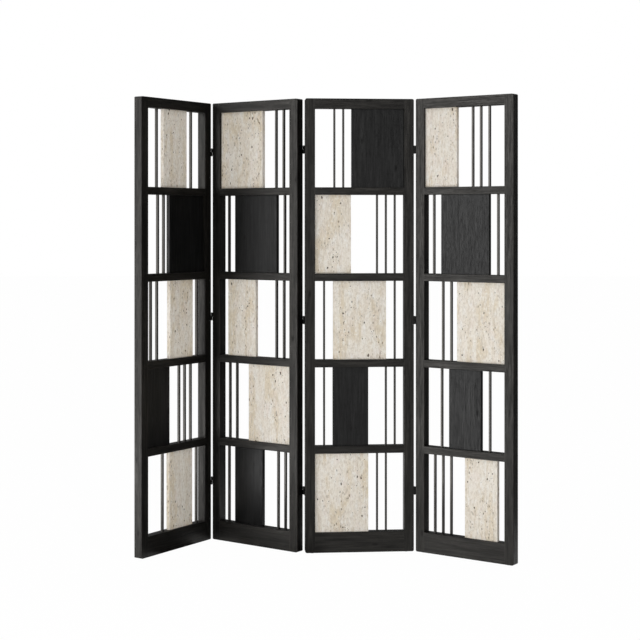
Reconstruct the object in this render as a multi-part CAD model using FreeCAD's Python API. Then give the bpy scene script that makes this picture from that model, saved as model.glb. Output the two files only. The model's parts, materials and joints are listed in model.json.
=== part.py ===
import FreeCAD, Part
import math
import os

# Folding screen: four oak-framed panels in a zigzag, each with bays of stone slabs, boards and metal bars.
# Lengths are in millimetres and angles in degrees. In a panel's own frame u runs to the right, v from the
# front face to the back and z up from the underside of the wood.

# Panel frame
frame_height = 1797.0
panel_width = 433.0
frame_thickness = 38.0
stile_width = 39.0
top_rail_height = 40.0
middle_rail_height = 30.0
bottom_rail_height = 80.0
outer_corner_radius = 7.0
arris = 1.2
bay_count = 5

# Tenons that join the rails to the stiles
tenon_length = 24.0
tenon_thickness = 12.0
tenon_shoulder = 9.0
tenon_end_cover = 14.0
wood_clearance = 0.1

# Slabs, boards and bars, let into the rails
plate_thickness = 17.0
bar_width = 8.0
bar_depth = 10.5
seat_depth = 8.0
seat_clearance = 0.2

# Glides under the stiles
glide_radius = 10.0
glide_height = 3.0
glide_inset = 10.0

# Butt hinges on the edges of the stiles
hinge_gap = 7.0
hinge_inset = 5.5
axis_stand_off = 0.5
leaf_height = 32.0
leaf_depth = 27.0
leaf_thickness = 2.0
barrel_clearance = 0.4
knuckle_count = 2
knuckle_gap = 0.2
pin_radius = 1.5
pin_clearance = 0.05
pin_end = 0.8

# How the screen stands: the first panel's turn from the X axis, then the fold at each seam
first_panel_angle = 55.9
seam_angles = (91.1, 39.9, 39.4)
seam_sides = ("front", "back", "front")

# Infill of each bay from the top down: plate, its start and end, and the bars' middles across the opening
infill_shares = (
    (("stone_slab", 0.30, 0.70, (0.20, 0.80)),
     ("oak_board", 0.40, 1.00, (0.22, 0.32)),
     ("stone_slab", 0.41, 0.81, (0.10, 0.205, 0.905)),
     ("oak_board", 0.00, 0.40, (0.59, 0.69, 0.795)),
     ("stone_slab", 0.40, 0.80, (0.30, 0.90))),
    (("stone_slab", 0.00, 0.60, (0.78, 0.885)),
     ("oak_board", 0.20, 0.80, (0.10, 0.90)),
     ("stone_slab", 0.10, 0.50, (0.785, 0.89)),
     ("stone_slab", 0.40, 1.00, (0.113, 0.216)),
     ("oak_board", 0.20, 0.60, (0.10, 0.81, 0.91))),
    (("oak_board", 0.41, 1.00, (0.22, 0.32)),
     ("stone_slab", 0.00, 0.405, (0.70, 0.80, 0.90)),
     ("stone_slab", 0.205, 0.80, (0.105, 0.90)),
     ("oak_board", 0.20, 0.60, (0.105, 0.80, 0.90)),
     ("stone_slab", 0.00, 0.60, (0.70, 0.80))),
    (("stone_slab", 0.00, 0.40, (0.59, 0.69, 0.795)),
     ("oak_board", 0.20, 0.80, (0.10, 0.90)),
     ("stone_slab", 0.40, 1.00, (0.215, 0.32)),
     ("oak_board", 0.30, 0.70, (0.20, 0.80)),
     ("stone_slab", 0.50, 0.90, (0.113, 0.216, 0.319))),
)

# Values worked out from the sizes above
opening_width = panel_width - 2 * stile_width
middle_rail_count = bay_count - 1
rails_height = top_rail_height + middle_rail_count * middle_rail_height + bottom_rail_height
bay_height = (frame_height - rails_height) / bay_count
hinged_bays = (0, middle_rail_count // 2, middle_rail_count)
middle_depth = frame_thickness / 2
barrel_radius = hinge_gap / 2 - barrel_clearance
knuckle_height = leaf_height / knuckle_count
edge_match = arris / 1000

up = FreeCAD.Vector(0, 0, 1)
across = FreeCAD.Vector(1, 0, 0)
deep = FreeCAD.Vector(0, 1, 0)
origin = FreeCAD.Vector(0, 0, 0)


# Small helpers

def block(u_span, v_span, z_span):
    """A box from its low and high value along each axis."""
    low, high = (FreeCAD.Vector(*ends) for ends in zip(u_span, v_span, z_span))
    size = high - low
    return Part.makeBox(size.x, size.y, size.z, low)


def centred(middle, size):
    """The span of a size about its middle."""
    return (middle - size / 2, middle + size / 2)


def grown(span, margin):
    """A span made longer by a margin at each end."""
    return (span[0] - margin, span[1] + margin)


def upright_edges(solid, u):
    """The edges of a piece that run straight up at one place across the panel."""
    return [edge for edge in solid.Edges
            if edge.BoundBox.ZLength > edge.BoundBox.DiagonalLength - edge_match
            and abs(edge.CenterOfMass.x - u) < edge_match]


# Places of the bays and rails

def bay_span(bay):
    """Bottom and top of a bay, counted from the top down."""
    top = frame_height - top_rail_height - bay * (bay_height + middle_rail_height)
    return (top - bay_height, top)


def rail_span(rail):
    """Bottom and top of a rail: the first is the top rail and the last the bottom rail."""
    if rail == 0:
        return (frame_height - top_rail_height, frame_height)
    top = bay_span(rail - 1)[0]
    if rail == bay_count:
        return (0, top)
    return (top - middle_rail_height, top)


def tenon_span(rail):
    """Bottom and top of a rail's tenons, which stay covered at the ends of the stiles."""
    bottom, top = rail_span(rail)
    below = tenon_end_cover if rail == bay_count else tenon_shoulder
    above = tenon_end_cover if rail == 0 else tenon_shoulder
    return (bottom + below, top - above)


def opening_place(share):
    """The place across a panel of a share of its opening."""
    return stile_width + share * opening_width


def plate_span(infill):
    """Left and right end of a plate's place in the opening."""
    return (opening_place(infill[1]), opening_place(infill[2]))


def bar_spans(infill):
    """Left and right side of each bar of a bay."""
    return [centred(opening_place(share), bar_width) for share in infill[3]]


# Frame pieces of a panel

def stile(outer, inner):
    """One upright of a frame, from its eased outer edge to its inner face, with the mortises of the rails.

    The inner edges stay square, because the rails' shoulders close on them.
    """
    solid = block(sorted((outer, inner)), (0, frame_thickness), (0, frame_height))
    solid = solid.makeChamfer(arris, upright_edges(solid, outer))
    outer_ends = [edge for edge in solid.Edges
                  if edge.BoundBox.YLength > frame_thickness - 2 * arris - edge_match
                  and abs(edge.CenterOfMass.x - outer) < edge_match]
    solid = solid.makeFillet(outer_corner_radius, outer_ends)
    mortise_end = inner + math.copysign(tenon_length + wood_clearance, outer - inner)
    mortise_depth = grown(centred(middle_depth, tenon_thickness), wood_clearance)
    mortises = [block(sorted((inner, mortise_end)), mortise_depth, grown(tenon_span(rail), wood_clearance))
                for rail in range(bay_count + 1)]
    return solid.cut(mortises)


def rail(number, infills):
    """One cross piece of a frame, with a tenon at each end and the seats of the infill above and below it."""
    bottom, top = rail_span(number)
    opening = (stile_width, stile_width + opening_width)
    solid = block(opening, (0, frame_thickness), (bottom, top))
    bay_sides = [level for level in (bottom, top) if 0 < level < frame_height]
    bay_edges = [edge for edge in solid.Edges
                 if edge.BoundBox.XLength > opening_width - edge_match
                 and min(abs(edge.CenterOfMass.z - level) for level in bay_sides) < edge_match]
    solid = solid.makeChamfer(arris, bay_edges)
    tenon_depth = centred(middle_depth, tenon_thickness)
    tenons = [block(centred(end, 2 * tenon_length), tenon_depth, tenon_span(number)) for end in opening]
    solid = solid.fuse(tenons)
    seats = []
    if number > 0:
        seats += infill_seats(infills[number - 1], (top - seat_depth, top))
    if number < bay_count:
        seats += infill_seats(infills[number], (bottom, bottom + seat_depth))
    return solid.cut(seats).removeSplitter()


def infill_seats(infill, z_span):
    """The groove of a plate and the mortises of its bars, cut into one side of a rail."""
    plate_depth = grown(centred(middle_depth, plate_thickness), seat_clearance)
    bar_depth_span = grown(centred(middle_depth, bar_depth), seat_clearance)
    seats = [block(plate_span(infill), plate_depth, z_span)]
    seats += [block(grown(span, seat_clearance), bar_depth_span, z_span) for span in bar_spans(infill)]
    return seats


# Infill of a bay

def infill_height(bay):
    """Bottom and top of what stands in a bay: it rests in the seat below and has play in the one above."""
    bottom, top = bay_span(bay)
    return (bottom - seat_depth, top + seat_depth - seat_clearance)


def plate(infill, bay):
    """A stone slab or an oak board, with play beside it in its groove."""
    u_span = grown(plate_span(infill), -seat_clearance)
    return block(u_span, centred(middle_depth, plate_thickness), infill_height(bay))


def bar(span, bay):
    """A slim metal bar of rectangular section."""
    return block(span, centred(middle_depth, bar_depth), infill_height(bay))


# Glides

def glide(outer, inner):
    """A round glide under the end of a stile, set in from the stile's inner face."""
    middle = inner + math.copysign(glide_inset, outer - inner)
    foot = FreeCAD.Vector(middle, middle_depth, -glide_height)
    return Part.makeCylinder(glide_radius, glide_height, foot, up)


# Hinges about the middle of the pin, as they lie on a panel's right edge with the axis at the front

def knuckle_span(number):
    """Bottom and top of a knuckle's share of the barrel."""
    bottom = number * knuckle_height - leaf_height / 2
    return (bottom, bottom + knuckle_height)


def leaf(own_knuckles):
    """A flat leaf with its knuckles rolled about the pin, notched for the knuckles of the other leaf."""
    seat = -hinge_gap / 2
    solid = block((seat, seat + leaf_thickness), (0, leaf_depth), centred(0, leaf_height))
    notch_depth = barrel_radius + barrel_clearance
    others = [number for number in range(knuckle_count) if number not in own_knuckles]
    notches = [block((seat, 0), (0, notch_depth), grown(knuckle_span(number), knuckle_gap / 2))
               for number in others]
    solid = solid.cut(notches)
    for number in own_knuckles:
        bottom, top = grown(knuckle_span(number), -knuckle_gap / 2)
        solid = solid.fuse(Part.makeCylinder(barrel_radius, top - bottom, up * bottom, up))
    bore = Part.makeCylinder(pin_radius + pin_clearance, 2 * leaf_height, up * -leaf_height, up)
    return solid.cut(bore).removeSplitter()


def pin():
    """A plain hinge pin that stands a little out of both ends of the barrel."""
    reach = leaf_height / 2 + pin_end
    return Part.makeCylinder(pin_radius, 2 * reach, up * -reach, up)


def hinge_heights():
    """The hinges stand at the middle of their bays, the outer two set in a little towards the middle one."""
    insets = (-hinge_inset, 0, hinge_inset)
    return [sum(bay_span(bay)) / 2 + inset for bay, inset in zip(hinged_bays, insets)]


def set_on_seam(shape, edge, side):
    """Copies of a hinge piece along a panel's left or right edge, with the axis at the front or the back."""
    if edge == "left":
        shape = shape.mirror(origin, across)
    if side == "back":
        shape = shape.mirror(origin, deep)
    u, v = axis_place(edge, side)
    return [shape.translated(FreeCAD.Vector(u, v, height)) for height in hinge_heights()]


def axis_place(edge, side):
    """The axis of a seam in the frame of the panel that it bounds."""
    u = -hinge_gap / 2 if edge == "left" else panel_width + hinge_gap / 2
    v = -axis_stand_off if side == "front" else frame_thickness + axis_stand_off
    return (u, v)


# Where each panel stands

def turned(point, turn):
    """A point of the plan, turned about the origin."""
    angle = math.radians(turn)
    u, v = point
    return (u * math.cos(angle) - v * math.sin(angle), u * math.sin(angle) + v * math.cos(angle))


def panel_stands():
    """Turn and foot of each panel, chained seam by seam and centred on the screen's footprint."""
    stands = [(first_panel_angle, (0, 0))]
    for fold, side in zip(seam_angles, seam_sides):
        turn, foot = stands[-1]
        reach = turned(axis_place("right", side), turn)
        next_turn = turn - fold if side == "front" else turn + fold
        back = turned(axis_place("left", side), next_turn)
        stands.append((next_turn, (foot[0] + reach[0] - back[0], foot[1] + reach[1] - back[1])))
    corners = []
    for turn, foot in stands:
        for u in (0, panel_width):
            for v in (0, frame_thickness):
                x, y = turned((u, v), turn)
                corners.append((foot[0] + x, foot[1] + y))
    middle = [(min(values) + max(values)) / 2 for values in zip(*corners)]
    return [(turn, (foot[0] - middle[0], foot[1] - middle[1])) for turn, foot in stands]


def panel_placement(stand):
    """From a panel's own frame to its place on the floor."""
    turn, foot = stand
    return FreeCAD.Placement(FreeCAD.Vector(foot[0], foot[1], glide_height), FreeCAD.Rotation(up, turn))


# The whole screen

def panel_pieces(number, infills):
    """The pieces of one panel in its own frame, by name."""
    name = f"panel_{number + 1}"
    stile_faces = {"left": (0, stile_width), "right": (panel_width, panel_width - stile_width)}
    pieces = {}
    for edge, faces in stile_faces.items():
        pieces[f"{name}_{edge}_stile"] = [stile(*faces)]
    rails = [rail(rail_number, infills) for rail_number in range(bay_count + 1)]
    pieces[f"{name}_top_rail"] = rails[:1]
    pieces[f"{name}_middle_rails"] = rails[1:-1]
    pieces[f"{name}_bottom_rail"] = rails[-1:]
    bars = []
    for bay, infill in enumerate(infills):
        pieces[f"{name}_bay_{bay + 1}_{infill[0]}"] = [plate(infill, bay)]
        bars += [bar(span, bay) for span in bar_spans(infill)]
    pieces[f"{name}_bars"] = bars
    pieces[f"{name}_glides"] = [glide(*faces) for faces in stile_faces.values()]
    return pieces


def hinge_pieces():
    """The leaves and pins of the seams, each in the frame of the panel that carries it."""
    left_knuckles = range(0, knuckle_count, 2)
    right_knuckles = range(1, knuckle_count, 2)
    carried = [{} for _ in infill_shares]
    for seam, side in enumerate(seam_sides):
        left, right = seam, seam + 1
        name = f"seam_{left + 1}_{right + 1}"
        carried[left][f"{name}_left_hinge_leaves"] = set_on_seam(leaf(left_knuckles), "right", side)
        carried[left][f"{name}_hinge_pins"] = set_on_seam(pin(), "right", side)
        carried[right][f"{name}_right_hinge_leaves"] = set_on_seam(leaf(right_knuckles), "left", side)
    return carried


def screen_bodies():
    """Every piece of the screen at its place, grouped by the panel that carries it."""
    hinges = hinge_pieces()
    bodies = []
    for number, stand in enumerate(panel_stands()):
        pieces = panel_pieces(number, infill_shares[number])
        pieces.update(hinges[number])
        placement = panel_placement(stand)
        body = {}
        for node, solids in pieces.items():
            shape = solids[0] if len(solids) == 1 else Part.makeCompound(solids)
            body[node] = shape.transformed(placement.toMatrix())
        bodies.append(body)
    return bodies


def main():
    os.makedirs("parts", exist_ok=True)
    for body in screen_bodies():
        for node, shape in body.items():
            shape.exportStep(f"parts/{node}.step")


main()
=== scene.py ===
import json
import math
import random

import bmesh
import bpy
from mathutils import Matrix, Vector, geometry


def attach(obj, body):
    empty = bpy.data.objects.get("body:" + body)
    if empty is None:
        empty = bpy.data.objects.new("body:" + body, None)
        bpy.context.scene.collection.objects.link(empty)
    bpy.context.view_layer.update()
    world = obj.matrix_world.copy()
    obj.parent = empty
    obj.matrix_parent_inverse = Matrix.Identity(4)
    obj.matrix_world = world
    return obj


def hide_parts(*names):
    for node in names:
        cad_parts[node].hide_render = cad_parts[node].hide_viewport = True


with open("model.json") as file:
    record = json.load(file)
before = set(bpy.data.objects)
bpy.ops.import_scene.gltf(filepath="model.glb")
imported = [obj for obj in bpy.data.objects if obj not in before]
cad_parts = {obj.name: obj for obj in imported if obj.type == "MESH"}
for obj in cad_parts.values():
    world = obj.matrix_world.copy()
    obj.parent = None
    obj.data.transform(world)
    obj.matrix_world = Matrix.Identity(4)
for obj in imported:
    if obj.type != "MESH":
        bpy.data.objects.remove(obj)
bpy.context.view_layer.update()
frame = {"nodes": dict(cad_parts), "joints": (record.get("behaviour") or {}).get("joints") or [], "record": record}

# Looks of a folding screen: black-stained oak frames and boards, travertine slabs and dark bronze bars.
# Lengths are in metres. A panel's own axes run along it, from its front to its back, and up.
# A pattern's numbers are its cells in a metre along three axes, then its detail, roughness and swirl.
# Stops are places of a value from 0 to 1, each with the level or the colour that belongs to it.
# A relief is a strength and a depth. Wear is a width along outer edges, its stops and its colour.

up = Vector((0, 0, 1))
world_axes = (Vector((1, 0, 0)), Vector((0, 1, 0)), up)
right_angle = math.radians(90)

# Camera of the photograph, with its lens and sensor in millimetres
camera_place = Vector((-0.017, -5.745, 1.3057))
camera_lens = 81.28
camera_sensor = 36.0
camera_shift = -0.151

# Shape of the travertine slabs and their pits
slab_ease = 0.0008
slab_ease_steps = 2
upright_slope_most = 0.01
pitted_area_least = 0.0008
pit_margin = 0.004
pit_gap = 0.0008
pit_corner_count = 11
pit_roughness_share = 0.26
pit_floor_share = 0.6
pit_lean = 0.25
# Kinds of pit: how many stand on a square metre, then ranges of width, of height over width, and of depth
pit_kinds = (
    (110, (0.0038, 0.0064), (1.0, 2.2), (0.0030, 0.0045)),
    (320, (0.0018, 0.0034), (1.2, 2.6), (0.0016, 0.0026)),
    (1500, (0.0008, 0.0017), (1.0, 2.4), (0.0008, 0.0014)),
)
clusters_per_area = 130
cluster_spread = (0.006, 0.018)
cluster_share = 0.55
# Laying out a face around its pits: triangles inside the outlines only, and what counts as one point
layout_triangles_inside = 1
layout_tolerance = 1e-7

# Eased edges of boards, bars and glides
board_ease = 0.0009
bar_ease = 0.0007
glide_ease = 0.0009
ease_steps = 2
ease_profile = 0.5
ease_angle = math.radians(40)
flat_angle = math.radians(1)
weld_distance = 0.00002

# Hinge screws
screw_radius = 0.0027
screw_rim_height = 0.00015
screw_dome_height = 0.0006
screw_shoulder_share = 0.8
screw_shoulder_rise_share = 0.75
screw_crown_share = 1.25
screw_side_count = 20
recess_arm = 0.0016
recess_arm_count = 4
recess_width = 0.00055
recess_depth = 0.0007
recess_floor_share = 0.7
screw_depth_share = 0.6
screw_height_share = 0.28
# How far a screw is turned for each metre of its height, in radians, so that they don't all stand alike
screw_turn_rate = 40
hinge_spacing_least = 0.1

# How far a pattern moves from one piece to the next
pattern_shift = Vector((71.0, 53.0, 37.0))
# Rays that look for an outer edge
wear_samples = 4

# Oak, with its patterns across, through and along the grain
oak_figure = ((66, 66, 5.0), 4.0, 0.6, 0.7)
oak_streaks = ((190, 190, 8), 5.0, 0.62, 0.0)
oak_pores = ((1000, 1000, 36), 2.0, 0.5, 0.0)
oak_knot_cells = (15, 15, 6)
oak_figure_places = (0.32, 0.5, 0.7)
oak_dark_streak_stops = ((0.30, 0.85), (0.47, 0.0))
oak_pale_streak_stops = ((0.52, 0.0), (0.70, 0.9))
oak_pore_stops = ((0.56, 0.0), (0.66, 1.0))
oak_pore_share = 0.8
oak_knot_stops = ((0.05, 0.9), (0.11, 0.0))
oak_mark_tone = (0.0015, 0.0014, 0.0013)
oak_mark_roughness = (0.8, 0.8, 0.8)
oak_wear = (0.0022, ((0.02, 0.0), (0.16, 0.5)), (0.028, 0.0255, 0.0225))
oak_roughness_places = (0.34, 0.66)
oak_shine_places = (0.36, 0.64)
oak_streak_relief_share = 0.8
oak_relief = (0.3, 0.0006)
# Looks of the frame and of the boards: stain in the dark, middle and pale grain, how strongly it shines,
# how much the shine changes with the grain, the shine's tint, and roughness in dark and in pale grain
frame_tones = ((0.0010, 0.0009, 0.0007), (0.0030, 0.0026, 0.0021), (0.0090, 0.0079, 0.0063))
board_tones = ((0.0008, 0.0008, 0.0008), (0.0022, 0.0022, 0.0022), (0.0070, 0.0070, 0.0069))
frame_gloss = 0.245
board_gloss = 0.190
frame_shine_share = 0.24
board_shine_share = 0.10
frame_tint = (1.0, 0.975, 0.935)
board_tint = (1.0, 1.0, 1.0)
frame_roughness = (0.54, 0.30)
board_roughness = (0.46, 0.30)
frame_look = (frame_tones, frame_gloss, frame_shine_share, frame_tint, frame_roughness)
board_look = (board_tones, board_gloss, board_shine_share, board_tint, board_roughness)

# Travertine
stone_patterns = {
    "bands": ((38, 38, 7), 4.0, 0.6, 0.5),
    "ochre": ((21, 21, 4.5), 5.0, 0.6, 0.5),
    "rosy": ((27, 27, 10), 4.0, 0.6, 0.0),
    "chalk": ((64, 64, 24), 5.0, 0.65, 0.0),
    "mottle": ((135, 135, 85), 6.0, 0.68, 0.0),
    "streaks": ((170, 170, 40), 5.0, 0.65, 0.0),
    "grit": ((420, 420, 230), 3.0, 0.6, 0.0),
}
stone_ground_stops = (
    (0.30, (0.720, 0.648, 0.540)),
    (0.46, (0.805, 0.742, 0.645)),
    (0.62, (0.835, 0.790, 0.708)),
    (0.75, (0.785, 0.711, 0.602)),
)
# Tints laid over the ground one after another: a pattern, the stops of its strength and a colour
stone_tints = (
    ("ochre", ((0.50, 0.0), (0.60, 0.62)), (0.68, 0.566, 0.385)),
    ("rosy", ((0.52, 0.0), (0.70, 0.6)), (0.80, 0.705, 0.640)),
    ("chalk", ((0.50, 0.0), (0.66, 0.7)), (0.850, 0.830, 0.788)),
    ("mottle", ((0.34, 0.7), (0.48, 0.0)), (0.595, 0.528, 0.444)),
    ("mottle", ((0.53, 0.0), (0.68, 0.8)), (0.905, 0.876, 0.827)),
)
stone_streak_stops = ((0.50, 0.0), (0.68, 0.9))
stone_streak_ochre_stops = ((0.40, 0.45), (0.62, 1.0))
stone_streak_tone = (0.55, 0.468, 0.365)
stone_grit_stops = ((0.56, 0.0), (0.72, 0.45))
stone_grit_tone = (0.52, 0.43, 0.32)
stone_grit_middle = 0.5
stone_mark_cells = (95, 95, 44)
stone_mark_ragged_share = 0.7
stone_mark_stops = ((0.17, 0.95), (0.23, 0.0))
stone_mark_ochre_stops = ((0.44, 0.1), (0.58, 1.0))
stone_mark_rosy_stops = ((0.44, 0.0), (0.52, 1.0))
stone_mark_tone = (0.20, 0.145, 0.09)
stone_chalk_relief_share = 0.6
stone_relief = (0.25, 0.0006)
stone_roughness_stops = ((0.3, 0.50), (0.7, 0.68))
stone_gloss = 0.16

# Inside of the pits: a brown lining, darkened further as painted shade of the hollows
lining_crust = ((700, 700, 700), 3.0, 0.5, 0.0)
lining_brown_and_shade_stops = ((0.35, (0.040, 0.028, 0.017)), (0.65, (0.150, 0.110, 0.072)))
lining_relief = (0.6, 0.0006)
lining_roughness = 0.85
lining_gloss = 0.2

# Bronze of the bars
bronze_brushing = ((2400, 2400, 9), 3.0, 0.5, 0.0)
bronze_patina = ((60, 60, 14), 4.0, 0.5, 0.0)
bronze_tone_stops = ((0.3, (0.042, 0.0402, 0.0376)), (0.7, (0.056, 0.0537, 0.0503)))
bronze_wear = (0.0012, ((0.03, 0.0), (0.2, 0.45)), (0.085, 0.081, 0.074))
bronze_relief = (0.12, 0.0002)
bronze_roughness_stops = ((0.3, 0.30), (0.7, 0.42))

# Coated steel of the hinges
steel_coat = ((900, 900, 900), 3.0, 0.5, 0.0)
steel_tone_stops = ((0.3, (0.0015, 0.0015, 0.0015)), (0.7, (0.003, 0.003, 0.003)))
steel_wear = (0.0004, ((0.06, 0.0), (0.3, 0.35)), (0.015, 0.0145, 0.0138))
steel_relief = (0.15, 0.0002)
steel_roughness_stops = ((0.3, 0.36), (0.7, 0.5))
steel_gloss = 0.12

# Plastic of the glides
plastic_grain = ((1500, 1500, 1500), 2.0, 0.5, 0.0)
plastic_scuffs = ((260, 900, 300), 4.0, 0.5, 0.0)
plastic_scuff_stops = ((0.55, 0.0), (0.7, 0.6))
plastic_tone = (0.008, 0.008, 0.008)
plastic_scuff_tone = (0.03, 0.03, 0.03)
plastic_relief = (0.2, 0.0002)
plastic_roughness_stops = ((0.4, 0.5), (0.7, 0.75))
plastic_gloss = 0.35

# Stage: white floor and surroundings, and lamps with a place, a size and a power in watts
white = (1, 1, 1, 1)
floor_size = 60.0
floor_colour = (0.9, 0.9, 0.9, 1)
floor_glow_share = 0.985
ambient_level = 0.50
lamp_aim = Vector((0, 0, 0.9))
key_lamp = (Vector((-4.2, -1.75, 0.65)), (2.4, 2.4), 62.0)
top_lamp = (Vector((0.4, -3.0, 4.6)), (4.0, 3.0), 26.0)
fill_lamp = (Vector((-0.6, -2.0, 0.25)), (3.0, 0.5), 16.0)
# Gleams: lamps that only show in glossy surfaces, at the left in three heights and behind the camera
gleams = (
    (Vector((-4.4, -3.5, 1.1)), (3.4, 3.2), 52.0),
    (Vector((-4.4, -2.6, 3.0)), (3.6, 1.2), 105.0),
    (Vector((-1.6, -0.95, 0.12)), (1.8, 0.24), 10.5),
    (Vector((0.3, -7.0, 1.5)), (6.0, 2.8), 60.0),
)
# Flags: dark sheets to the right, behind and on the floor, seen only in reflections: middle, size, turn
turned_sideways = (0, 0, right_angle)
not_turned = (0, 0, 0)
laid_flat = (right_angle, 0, 0)
flags = (
    (Vector((1.5, 0.9, 2.0)), (6.2, 4.0), turned_sideways),
    (Vector((0.2, 4.0, 2.0)), (4.0, 4.0), not_turned),
    (Vector((0.97, 1.54, 0.004)), (1.05, 2.9), laid_flat),
    (Vector((-0.32, -0.22, 0.004)), (0.64, 0.7), laid_flat),
)
flag_colour = (0.25, 0.25, 0.25, 1)
flag_roughness = 1.0

bodies = frame["record"]["behaviour"]["bodies"]
seams = {joint["name"]: joint for joint in frame["joints"]}


# Shader nodes

class Finish:
    """A material and short calls for the nodes that its surface is made from."""

    def __init__(self, name):
        self.material = bpy.data.materials.new(name)
        self.material.use_nodes = True
        self.tree = self.material.node_tree
        self.shader = self.tree.nodes["Principled BSDF"]

    def node(self, kind, **values):
        made = self.tree.nodes.new(kind)
        for key, value in values.items():
            self.put(made.inputs[key], value)
        return made

    def put(self, socket, value):
        if isinstance(value, bpy.types.NodeSocket):
            self.tree.links.new(value, socket)
        else:
            socket.default_value = value

    def surface(self, **values):
        for key, value in values.items():
            self.put(self.shader.inputs[key.replace("_", " ")], value)

    def math(self, operation, first, second):
        made = self.tree.nodes.new("ShaderNodeMath")
        made.operation = operation
        self.put(made.inputs[0], first)
        self.put(made.inputs[1], second)
        return made.outputs[0]

    def dot(self, first, second):
        made = self.tree.nodes.new("ShaderNodeVectorMath")
        made.operation = "DOT_PRODUCT"
        self.put(made.inputs[0], first)
        self.put(made.inputs[1], second)
        return made.outputs["Value"]

    def place(self, axes, cells):
        """The surface's own point, measured along three axes in cells and moved for each piece."""
        point = self.node("ShaderNodeTexCoord").outputs["Object"]
        joined = self.tree.nodes.new("ShaderNodeCombineXYZ")
        for socket, axis, count in zip(joined.inputs, axes, cells):
            self.put(socket, self.dot(point, axis * count))
        moved = self.tree.nodes.new("ShaderNodeVectorMath")
        moved.operation = "MULTIPLY_ADD"
        self.put(moved.inputs[0], self.node("ShaderNodeObjectInfo").outputs["Random"])
        self.put(moved.inputs[1], pattern_shift)
        self.put(moved.inputs[2], joined.outputs[0])
        return moved.outputs[0]

    def noise(self, axes, cells, detail, roughness, swirl):
        made = self.node("ShaderNodeTexNoise", Vector=self.place(axes, cells), Scale=1.0, Detail=detail,
                         Roughness=roughness, Distortion=swirl)
        return made.outputs[0]

    def spots(self, axes, cells):
        made = self.node("ShaderNodeTexVoronoi", Vector=self.place(axes, cells), Scale=1.0)
        return made.outputs["Distance"]

    def ramp(self, value, *stops):
        """Colours or grey levels at places of a value from 0 to 1."""
        made = self.node("ShaderNodeValToRGB", Fac=value)
        elements = made.color_ramp.elements
        while len(elements) < len(stops):
            elements.new(1.0)
        for element, (position, colour) in zip(elements, stops):
            element.position = position
            element.color = (colour,) * 3 + (1,) if isinstance(colour, float) else (*colour, 1)
        return made.outputs[0]

    def mix(self, share, first, second):
        made = self.tree.nodes.new("ShaderNodeMixRGB")
        for socket, value in zip(made.inputs, (share, first, second)):
            self.put(socket, (*value, 1) if isinstance(value, tuple) else value)
        return made.outputs[0]

    def worn(self, colour, width, stops, tone):
        """A colour that is rubbed towards another tone along the outer edges."""
        rounded = self.node("ShaderNodeBevel", Radius=width)
        rounded.samples = wear_samples
        normal = self.node("ShaderNodeNewGeometry").outputs["Normal"]
        nearness = self.math("SUBTRACT", 1.0, self.dot(rounded.outputs[0], normal))
        return self.mix(self.ramp(nearness, *stops), colour, tone)

    def relief(self, height, strength, depth):
        made = self.node("ShaderNodeBump", Height=height, Strength=strength, Distance=depth)
        self.put(self.shader.inputs["Normal"], made.outputs[0])


# Finishes

def oak(name, axes, look):
    """Black-stained oak with its grain along the last axis: figure, streaks, small knots and open pores."""
    finish = Finish(name)
    tones, gloss, shine_share, tint, roughness_ends = look
    dark, _, pale = tones
    figure = finish.noise(axes, *oak_figure)
    streaks = finish.noise(axes, *oak_streaks)
    pores = finish.ramp(finish.noise(axes, *oak_pores), *oak_pore_stops)
    knots = finish.ramp(finish.spots(axes, oak_knot_cells), *oak_knot_stops)
    stain = finish.ramp(figure, *zip(oak_figure_places, tones))
    stain = finish.mix(finish.ramp(streaks, *oak_dark_streak_stops), stain, dark)
    stain = finish.mix(finish.ramp(streaks, *oak_pale_streak_stops), stain, pale)
    marks = finish.math("MAXIMUM", finish.math("MULTIPLY", pores, oak_pore_share), knots)
    stain = finish.mix(marks, stain, oak_mark_tone)
    stain = finish.worn(stain, *oak_wear)
    roughness = finish.ramp(streaks, *zip(oak_roughness_places, roughness_ends))
    roughness = finish.mix(marks, roughness, oak_mark_roughness)
    height = finish.math("SUBTRACT", finish.math("MULTIPLY", streaks, oak_streak_relief_share), marks)
    finish.relief(height, *oak_relief)
    grain_mean = finish.math("MULTIPLY", finish.math("ADD", figure, streaks), 1 / 2)
    shine_ends = (gloss * (1 - shine_share), gloss * (1 + shine_share))
    shine = finish.ramp(grain_mean, *zip(oak_shine_places, shine_ends))
    finish.surface(Base_Color=stain, Roughness=roughness, Specular_IOR_Level=shine,
                   Specular_Tint=(*tint, 1))
    return finish.material


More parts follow.
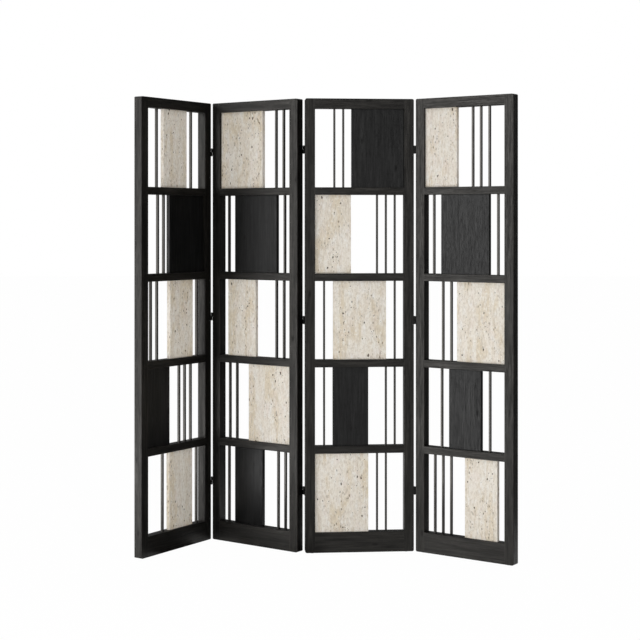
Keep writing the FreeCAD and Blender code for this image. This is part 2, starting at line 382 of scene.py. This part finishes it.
def travertine(name):
    """Cream travertine with upright ochre, rosy and chalky patches, mottle, streaks and brown marks."""
    finish = Finish(name)
    patterns = {key: finish.noise(world_axes, *numbers) for key, numbers in stone_patterns.items()}
    ground = finish.ramp(patterns["bands"], *stone_ground_stops)
    for key, stops, tone in stone_tints:
        ground = finish.mix(finish.ramp(patterns[key], *stops), ground, tone)
    streaked = finish.math("MULTIPLY", finish.ramp(patterns["streaks"], *stone_streak_stops),
                           finish.ramp(patterns["ochre"], *stone_streak_ochre_stops))
    ground = finish.mix(streaked, ground, stone_streak_tone)
    ground = finish.mix(finish.ramp(patterns["grit"], *stone_grit_stops), ground, stone_grit_tone)
    uneven = finish.math("SUBTRACT", patterns["grit"], stone_grit_middle)
    ragged = finish.math("ADD", finish.spots(world_axes, stone_mark_cells),
                         finish.math("MULTIPLY", uneven, stone_mark_ragged_share))
    scattered = finish.math("MULTIPLY", finish.ramp(patterns["ochre"], *stone_mark_ochre_stops),
                            finish.ramp(patterns["rosy"], *stone_mark_rosy_stops))
    brown = finish.math("MULTIPLY", finish.ramp(ragged, *stone_mark_stops), scattered)
    ground = finish.mix(brown, ground, stone_mark_tone)
    chalk_height = finish.math("MULTIPLY", patterns["chalk"], stone_chalk_relief_share)
    finish.relief(finish.math("SUBTRACT", chalk_height, brown), *stone_relief)
    roughness = finish.ramp(patterns["streaks"], *stone_roughness_stops)
    finish.surface(Base_Color=ground, Roughness=roughness, Specular_IOR_Level=stone_gloss)
    return finish.material


def pit_lining_with_shade(name):
    """The rougher inside of the pits in the travertine: brown, and darkened further as painted shade of the
    hollows.
    """
    finish = Finish(name)
    crust = finish.noise(world_axes, *lining_crust)
    colour = finish.ramp(crust, *lining_brown_and_shade_stops)
    finish.relief(crust, *lining_relief)
    finish.surface(Base_Color=colour, Roughness=lining_roughness, Specular_IOR_Level=lining_gloss)
    return finish.material


def bronze(name):
    """Dark bronze with a satin, upright brushing that is rubbed a little paler along the edges."""
    finish = Finish(name)
    brushing = finish.noise(world_axes, *bronze_brushing)
    colour = finish.ramp(finish.noise(world_axes, *bronze_patina), *bronze_tone_stops)
    colour = finish.worn(colour, *bronze_wear)
    roughness = finish.ramp(brushing, *bronze_roughness_stops)
    finish.relief(brushing, *bronze_relief)
    finish.surface(Base_Color=colour, Metallic=1.0, Roughness=roughness)
    return finish.material


def black_steel(name):
    """Black-coated hinge steel with a fine, slightly uneven coat."""
    finish = Finish(name)
    coat = finish.noise(world_axes, *steel_coat)
    colour = finish.worn(finish.ramp(coat, *steel_tone_stops), *steel_wear)
    roughness = finish.ramp(coat, *steel_roughness_stops)
    finish.relief(coat, *steel_relief)
    finish.surface(Base_Color=colour, Roughness=roughness, Specular_IOR_Level=steel_gloss)
    return finish.material


def glide_plastic(name):
    """Black moulded plastic, scuffed where it slides."""
    finish = Finish(name)
    scuffs = finish.noise(world_axes, *plastic_scuffs)
    colour = finish.mix(finish.ramp(scuffs, *plastic_scuff_stops), plastic_tone, plastic_scuff_tone)
    roughness = finish.ramp(scuffs, *plastic_roughness_stops)
    finish.relief(finish.noise(world_axes, *plastic_grain), *plastic_relief)
    finish.surface(Base_Color=colour, Roughness=roughness, Specular_IOR_Level=plastic_gloss)
    return finish.material


# Reading the frame

def panel_axes(panel):
    """Unit vectors along a panel and from front to back, read from its bottom rail's widest face."""
    widest = max(frame["nodes"][f"{panel}_bottom_rail"].data.polygons, key=lambda face: face.area)
    deep = widest.normal if widest.normal.y > 0 else -widest.normal
    return Vector((deep.y, -deep.x, 0)), Vector((deep.x, deep.y, 0))


def panel_points(node, axes):
    """A node's corners, measured along its panel, through it and up."""
    along, deep = axes
    return [Vector((corner.co.dot(along), corner.co.dot(deep), corner.co.z))
            for corner in frame["nodes"][node].data.vertices]


def panel_matrix(axes):
    """From a panel's own axes to the frame's."""
    along, deep = axes
    return Matrix((along, deep, up)).transposed().to_4x4()


def ends_of(points):
    """Lowest and highest corner of some points."""
    low = Vector(min(point[axis] for point in points) for axis in range(3))
    high = Vector(max(point[axis] for point in points) for axis in range(3))
    return low, high


# Making pieces

def finished_mesh(name, mesh):
    """A mesh of Blender's own from an editable one, which is let go."""
    made = bpy.data.meshes.new(name)
    mesh.to_mesh(made)
    mesh.free()
    return made


def add_piece(mesh, body, slot, *materials):
    """A new piece, named like its mesh, that rides on a body and takes the finishes it is given; the slot is not
    used.
    """
    piece = bpy.data.objects.new(mesh.name, mesh)
    bpy.context.scene.collection.objects.link(piece)
    for material in materials:
        mesh.materials.append(material)
    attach(piece, body)
    return piece


# Travertine slabs with real pits

def pit_outline(draw, width, height):
    """An uneven closed outline about its middle, taller than wide and leaning a little."""
    lean = draw.uniform(-pit_lean, pit_lean)
    outline = []
    for corner in range(pit_corner_count):
        angle = math.tau * corner / pit_corner_count
        reach = 1 + draw.uniform(-pit_roughness_share, pit_roughness_share)
        across = width / 2 * reach * math.cos(angle)
        rise = height / 2 * reach * math.sin(angle)
        outline.append((across + lean * rise, rise))
    return outline


def stands_clear(across, rise, reach, pits):
    """Whether a pit with this middle and reach stays clear of the pits that are there."""
    return all(math.hypot(across - other_across, rise - other_rise) > reach + other_reach
               for other_across, other_rise, _, _, other_reach in pits)


def pit_places(draw, width, height):
    """Middles, outlines, depths and reaches of the pits on a face, partly in clusters and kept apart."""
    clusters = [(draw.uniform(0, width), draw.uniform(0, height))
                for _ in range(1 + round(clusters_per_area * width * height))]
    pits = []
    for density, widths, ratios, depths in pit_kinds:
        for _ in range(round(density * width * height)):
            pit_width = draw.uniform(*widths)
            pit_height = pit_width * draw.uniform(*ratios)
            across, rise = draw.uniform(0, width), draw.uniform(0, height)
            if draw.random() < cluster_share:
                across, rise = map(draw.gauss, draw.choice(clusters), cluster_spread)
            depth = draw.uniform(*depths)
            outline = pit_outline(draw, pit_width, pit_height)
            reach = pit_height * (1 + pit_roughness_share) / 2 + pit_gap
            room = reach + pit_margin
            inside = room < across < width - room and room < rise < height - room
            if inside and stands_clear(across, rise, reach, pits):
                pits.append((across, rise, outline, depth, reach))
    return pits


def pit_face(mesh, face, draw):
    """Cuts pits into one flat face of a slab: the face is laid out again around their rims."""
    corners = [loop.vert for loop in face.loops]
    inward = -face.normal
    across_axis = up.cross(face.normal).normalized()
    origin = min((corner.co for corner in corners),
                 key=lambda place: place.dot(across_axis) + place.dot(up))
    flat = [((corner.co - origin).dot(across_axis), (corner.co - origin).dot(up)) for corner in corners]
    pits = pit_places(draw, max(place[0] for place in flat), max(place[1] for place in flat))
    points = [Vector(place) for place in flat]
    rims = []
    for across, rise, outline, _, _ in pits:
        rims.append(list(range(len(points), len(points) + len(outline))))
        points += [Vector((across + place[0], rise + place[1])) for place in outline]
    outlines = [list(range(len(corners)))] + rims
    _, _, triangles, point_sources, _, outline_sources = geometry.delaunay_2d_cdt(
        points, [], outlines, layout_triangles_inside, layout_tolerance)
    verts = list(corners)
    for point in points[len(corners):]:
        verts.append(mesh.verts.new(origin + across_axis * point.x + up * point.y))
    mesh.faces.remove(face)
    for triangle, sources in zip(triangles, outline_sources):
        if sources == [0]:
            mesh.faces.new([verts[point_sources[index][0]] for index in triangle])
    for rim, (across, rise, outline, depth, _) in zip(rims, pits):
        middle = origin + across_axis * across + up * rise + inward * depth
        floor = [mesh.verts.new(middle + (across_axis * place[0] + up * place[1]) * pit_floor_share)
                 for place in outline]
        lining = [mesh.faces.new((verts[rim[step - 1]], verts[rim[step]], floor[step], floor[step - 1]))
                  for step in range(len(rim))]
        lining.append(mesh.faces.new(floor))
        # The walls and floor of each pit take the second finish, brown with painted shade of the hollow
        for made in lining:
            made.material_index = 1


def slab_mesh(name, low, high, draw):
    """A slab with eased edges and pits in its four upright faces."""
    mesh = bmesh.new()
    middle = Matrix.Translation((low + high) / 2)
    bmesh.ops.create_cube(mesh, size=1, matrix=middle @ Matrix.Diagonal((*(high - low), 1)))
    bmesh.ops.bevel(mesh, geom=mesh.edges[:], offset=slab_ease, segments=slab_ease_steps,
                    profile=ease_profile, affect="EDGES")
    mesh.normal_update()
    upright = [face for face in mesh.faces
               if abs(face.normal.z) < upright_slope_most and face.calc_area() > pitted_area_least]
    for face in upright:
        pit_face(mesh, face, draw)
    bmesh.ops.recalc_face_normals(mesh, faces=mesh.faces[:])
    return finished_mesh(name, mesh)


# Pieces that are eased copies of plain solids

def eased_mesh(name, node, width):
    """A copy of a node's mesh with its edges rounded."""
    mesh = bmesh.new()
    mesh.from_mesh(frame["nodes"][node].data)
    bmesh.ops.remove_doubles(mesh, verts=mesh.verts[:], dist=weld_distance)
    bmesh.ops.dissolve_limit(mesh, angle_limit=flat_angle, verts=mesh.verts[:], edges=mesh.edges[:])
    sharp = [edge for edge in mesh.edges if edge.is_manifold and edge.calc_face_angle() > ease_angle]
    bmesh.ops.bevel(mesh, geom=sharp, offset=width, segments=ease_steps, profile=ease_profile,
                    affect="EDGES", clamp_overlap=True)
    return finished_mesh(name, mesh)


# Hinge screws

def screw_head(mesh, matrix):
    """A domed countersunk head with a cross recess, standing along its own Z axis."""
    rings = (
        (screw_radius, 0.0),
        (screw_radius, screw_rim_height),
        (screw_shoulder_share * screw_radius, screw_shoulder_rise_share * screw_dome_height),
        (screw_crown_share * recess_arm, screw_dome_height),
    )
    angles = [math.tau * step / screw_side_count for step in range(screw_side_count)]
    loops = []
    for radius, height in rings:
        places = [Vector((radius * math.cos(angle), radius * math.sin(angle), height)) for angle in angles]
        loops.append([mesh.verts.new(matrix @ place) for place in places])
    for outer, inner in zip(loops, loops[1:]):
        for step in range(screw_side_count):
            mesh.faces.new((outer[step - 1], outer[step], inner[step], inner[step - 1]))
    arm = ((recess_arm, -recess_width), (recess_arm, recess_width), (recess_width, recess_width))
    cross = []
    for turn in range(recess_arm_count):
        spin = Matrix.Rotation(math.tau * turn / recess_arm_count, 3, "Z")
        cross += [spin @ Vector((*place, screw_dome_height)) for place in arm]
    rim = [mesh.verts.new(matrix @ place) for place in cross]
    bottom = [mesh.verts.new(matrix @ (place * recess_floor_share - up * recess_depth)) for place in cross]
    for step in range(len(rim)):
        mesh.faces.new((rim[step - 1], rim[step], bottom[step], bottom[step - 1]))
    mesh.faces.new(bottom)
    ends = [(loop[step - 1], loop[step]) for loop in (loops[-1], rim) for step in range(len(loop))]
    edges = [mesh.edges.get(pair) or mesh.edges.new(pair) for pair in ends]
    bmesh.ops.triangle_fill(mesh, edges=edges, use_beauty=True)


def leaf_heights(points):
    """Middle and height of each leaf in a group of leaves that stand above each other."""
    groups = []
    for level in sorted(point.z for point in points):
        if not groups or level - groups[-1][-1] > hinge_spacing_least:
            groups.append([])
        groups[-1].append(level)
    return [((group[0] + group[-1]) / 2, group[-1] - group[0]) for group in groups]


def screws_of_leaves(mesh, node, axes, seam):
    """Two screws in each leaf of a node, on the side that faces the other panel."""
    along, deep = axes
    axis = Vector(seam["pos_m"])
    points = [point - Vector((axis.dot(along), axis.dot(deep), 0)) for point in panel_points(node, axes)]
    reach = max((point.y for point in points), key=abs)
    far = [point.x for point in points if abs(point.y - reach) < weld_distance]
    seat, face = max(far, key=abs), min(far, key=abs)
    outward = Vector((math.copysign(1, face - seat), 0, 0))
    turn = outward.to_track_quat("Z", "Y").to_matrix().to_4x4()
    for middle, height in leaf_heights(points):
        for side in (-1, 1):
            place = Vector((axis.dot(along) + face, axis.dot(deep) + reach * screw_depth_share,
                            middle + side * height * screw_height_share))
            spin = Matrix.Rotation(middle * screw_turn_rate + side, 4, "Z")
            screw_head(mesh, panel_matrix(axes) @ Matrix.Translation(place) @ turn @ spin)


# Dressing the panels

def dress_panel(panel):
    """Finishes for a panel's nodes, with its slabs, boards, bars and glides replaced by finer pieces."""
    axes = panel_axes(panel)
    along, deep = axes
    rail_oak = oak(f"{panel}_rail_oak", (up, deep, along), frame_look)
    screws = bmesh.new()
    for node in bodies[panel]:
        target = frame["nodes"][node]
        target.data.materials.clear()
        if node.endswith("stone_slab"):
            low, high = ends_of(panel_points(node, axes))
            mesh = slab_mesh(f"{node}_pitted", low, high, random.Random(node))
            mesh.transform(panel_matrix(axes))
            piece = add_piece(mesh, panel, "travertine", finishes["travertine"], finishes["pits"])
            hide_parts(node)
            target.data.materials.append(finishes["travertine"])
        elif node.endswith(("oak_board", "bars", "glides")):
            slot, finish, width = eased_kinds[node.split("_")[-1]]
            mesh = eased_mesh(f"{node}_eased", node, width)
            piece = add_piece(mesh, panel, slot, finishes[finish])
            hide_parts(node)
            target.data.materials.append(finishes[finish])
        elif "hinge" in node:
            target.data.materials.append(finishes["black_steel"])
            if node.endswith("leaves"):
                first, second = node.split("_")[1:3]
                screws_of_leaves(screws, node, axes, seams[f"fold_{first}_{second}"])
        else:
            target.data.materials.append(rail_oak if "rail" in node else finishes["stile_oak"])
    bmesh.ops.recalc_face_normals(screws, faces=screws.faces[:])
    mesh = finished_mesh(f"{panel}_hinge_screws", screws)
    add_piece(mesh, panel, "black_steel", finishes["black_steel"])


# Slot, finish and width of the eased edges, by the last word of a node's name
eased_kinds = {
    "board": ("black_oak", "board_oak", board_ease),
    "bars": ("dark_bronze", "dark_bronze", bar_ease),
    "glides": ("glide_plastic", "glide_plastic", glide_ease),
}
finishes = {
    "stile_oak": oak("stile_oak", world_axes, frame_look),
    "board_oak": oak("board_oak", world_axes, board_look),
    "travertine": travertine("travertine"),
    # The pits' finish is a brown lining with painted shade of the hollows
    "pits": pit_lining_with_shade("travertine_pits"),
    "dark_bronze": bronze("dark_bronze"),
    "black_steel": black_steel("black_steel"),
    "glide_plastic": glide_plastic("glide_plastic"),
}
for panel_name in bodies:
    dress_panel(panel_name)


# Setting the stage

def white_share(tree):
    """1 for rays that see the surroundings themselves: from the camera, mirrored or through glass."""
    light_path = tree.nodes.new("ShaderNodeLightPath")
    share = light_path.outputs["Is Camera Ray"]
    for name in ("Is Glossy Ray", "Is Transmission Ray"):
        larger = tree.nodes.new("ShaderNodeMath")
        larger.operation = "MAXIMUM"
        tree.links.new(share, larger.inputs[0])
        tree.links.new(light_path.outputs[name], larger.inputs[1])
        share = larger.outputs[0]
    return share


def join_shaders(tree, share, first, second, output_kind):
    """Puts out a mix of two shaders."""
    joined = tree.nodes.new("ShaderNodeMixShader")
    output = tree.nodes.new(output_kind)
    tree.links.new(share, joined.inputs[0])
    tree.links.new(first.outputs[0], joined.inputs[1])
    tree.links.new(second.outputs[0], joined.inputs[2])
    tree.links.new(joined.outputs[0], output.inputs["Surface"])


def add_floor():
    """A white floor that glows white where it is seen and still takes the shadow of the screen."""
    mesh = bpy.data.meshes.new("floor")
    reach = floor_size / 2
    mesh.from_pydata([(-reach, -reach, 0), (reach, -reach, 0), (reach, reach, 0), (-reach, reach, 0)], [],
                     [(0, 1, 2, 3)])
    floor = bpy.data.objects.new("floor", mesh)
    bpy.context.scene.collection.objects.link(floor)
    material = bpy.data.materials.new("floor")
    material.use_nodes = True
    tree = material.node_tree
    tree.nodes.clear()
    matt = tree.nodes.new("ShaderNodeBsdfDiffuse")
    matt.inputs["Color"].default_value = floor_colour
    glow = tree.nodes.new("ShaderNodeEmission")
    share = tree.nodes.new("ShaderNodeMath")
    share.operation = "MULTIPLY"
    share.inputs[1].default_value = floor_glow_share
    tree.links.new(white_share(tree), share.inputs[0])
    join_shaders(tree, share.outputs[0], matt, glow, "ShaderNodeOutputMaterial")
    mesh.materials.append(material)


def add_surroundings():
    """White where they are seen, and a level ambient light for everything else."""
    world = bpy.data.worlds.new("studio")
    bpy.context.scene.world = world
    world.use_nodes = True
    tree = world.node_tree
    tree.nodes.clear()
    ambient = tree.nodes.new("ShaderNodeBackground")
    ambient.inputs["Color"].default_value = white
    ambient.inputs["Strength"].default_value = ambient_level
    seen = tree.nodes.new("ShaderNodeBackground")
    seen.inputs["Color"].default_value = white
    join_shaders(tree, white_share(tree), ambient, seen, "ShaderNodeOutputWorld")


def add_lamp(name, place, size, power, lit=True, mirrored=True):
    """A large soft lamp that faces the middle of the screen and lights it, shows in its gloss, or both."""
    light = bpy.data.lights.new(name, "AREA")
    light.shape = "RECTANGLE"
    light.size, light.size_y = size
    light.energy = power
    lamp = bpy.data.objects.new(name, light)
    lamp.location = place
    lamp.rotation_euler = (lamp_aim - place).to_track_quat("-Z", "Y").to_euler()
    lamp.visible_camera = False
    lamp.visible_diffuse = lit
    lamp.visible_glossy = mirrored
    bpy.context.scene.collection.objects.link(lamp)


def add_flag(name, place, size, turn):
    """A dark sheet that no camera sees and that shows in glossy surfaces in place of what is behind it."""
    mesh = bpy.data.meshes.new(name)
    side, rise = (extent / 2 for extent in size)
    mesh.from_pydata([(-side, 0, -rise), (side, 0, -rise), (side, 0, rise), (-side, 0, rise)], [],
                     [(0, 1, 2, 3)])
    flag = bpy.data.objects.new(name, mesh)
    flag.location = place
    flag.rotation_euler = turn
    for kind in ("camera", "diffuse", "transmission", "volume_scatter", "shadow"):
        setattr(flag, f"visible_{kind}", False)
    bpy.context.scene.collection.objects.link(flag)
    finish = Finish(name)
    finish.surface(Base_Color=flag_colour, Roughness=flag_roughness)
    mesh.materials.append(finish.material)


def add_camera():
    """The photograph's camera: level, square to the frame's X axis, with its view shifted down."""
    data = bpy.data.cameras.new("camera")
    data.lens = camera_lens
    data.sensor_width = camera_sensor
    data.shift_y = camera_shift
    camera = bpy.data.objects.new("camera", data)
    camera.location = camera_place
    camera.rotation_euler = (right_angle, 0, 0)
    bpy.context.scene.collection.objects.link(camera)
    bpy.context.scene.camera = camera


add_floor()
add_surroundings()
add_lamp("key", *key_lamp)
add_lamp("top", *top_lamp)
add_lamp("fill", *fill_lamp, mirrored=False)
for number, gleam in enumerate(gleams):
    add_lamp(f"gleam_{number + 1}", *gleam, lit=False)
for number, flag_values in enumerate(flags):
    add_flag(f"flag_{number + 1}", *flag_values)
add_camera()
bpy.context.scene.view_settings.view_transform = "Standard"
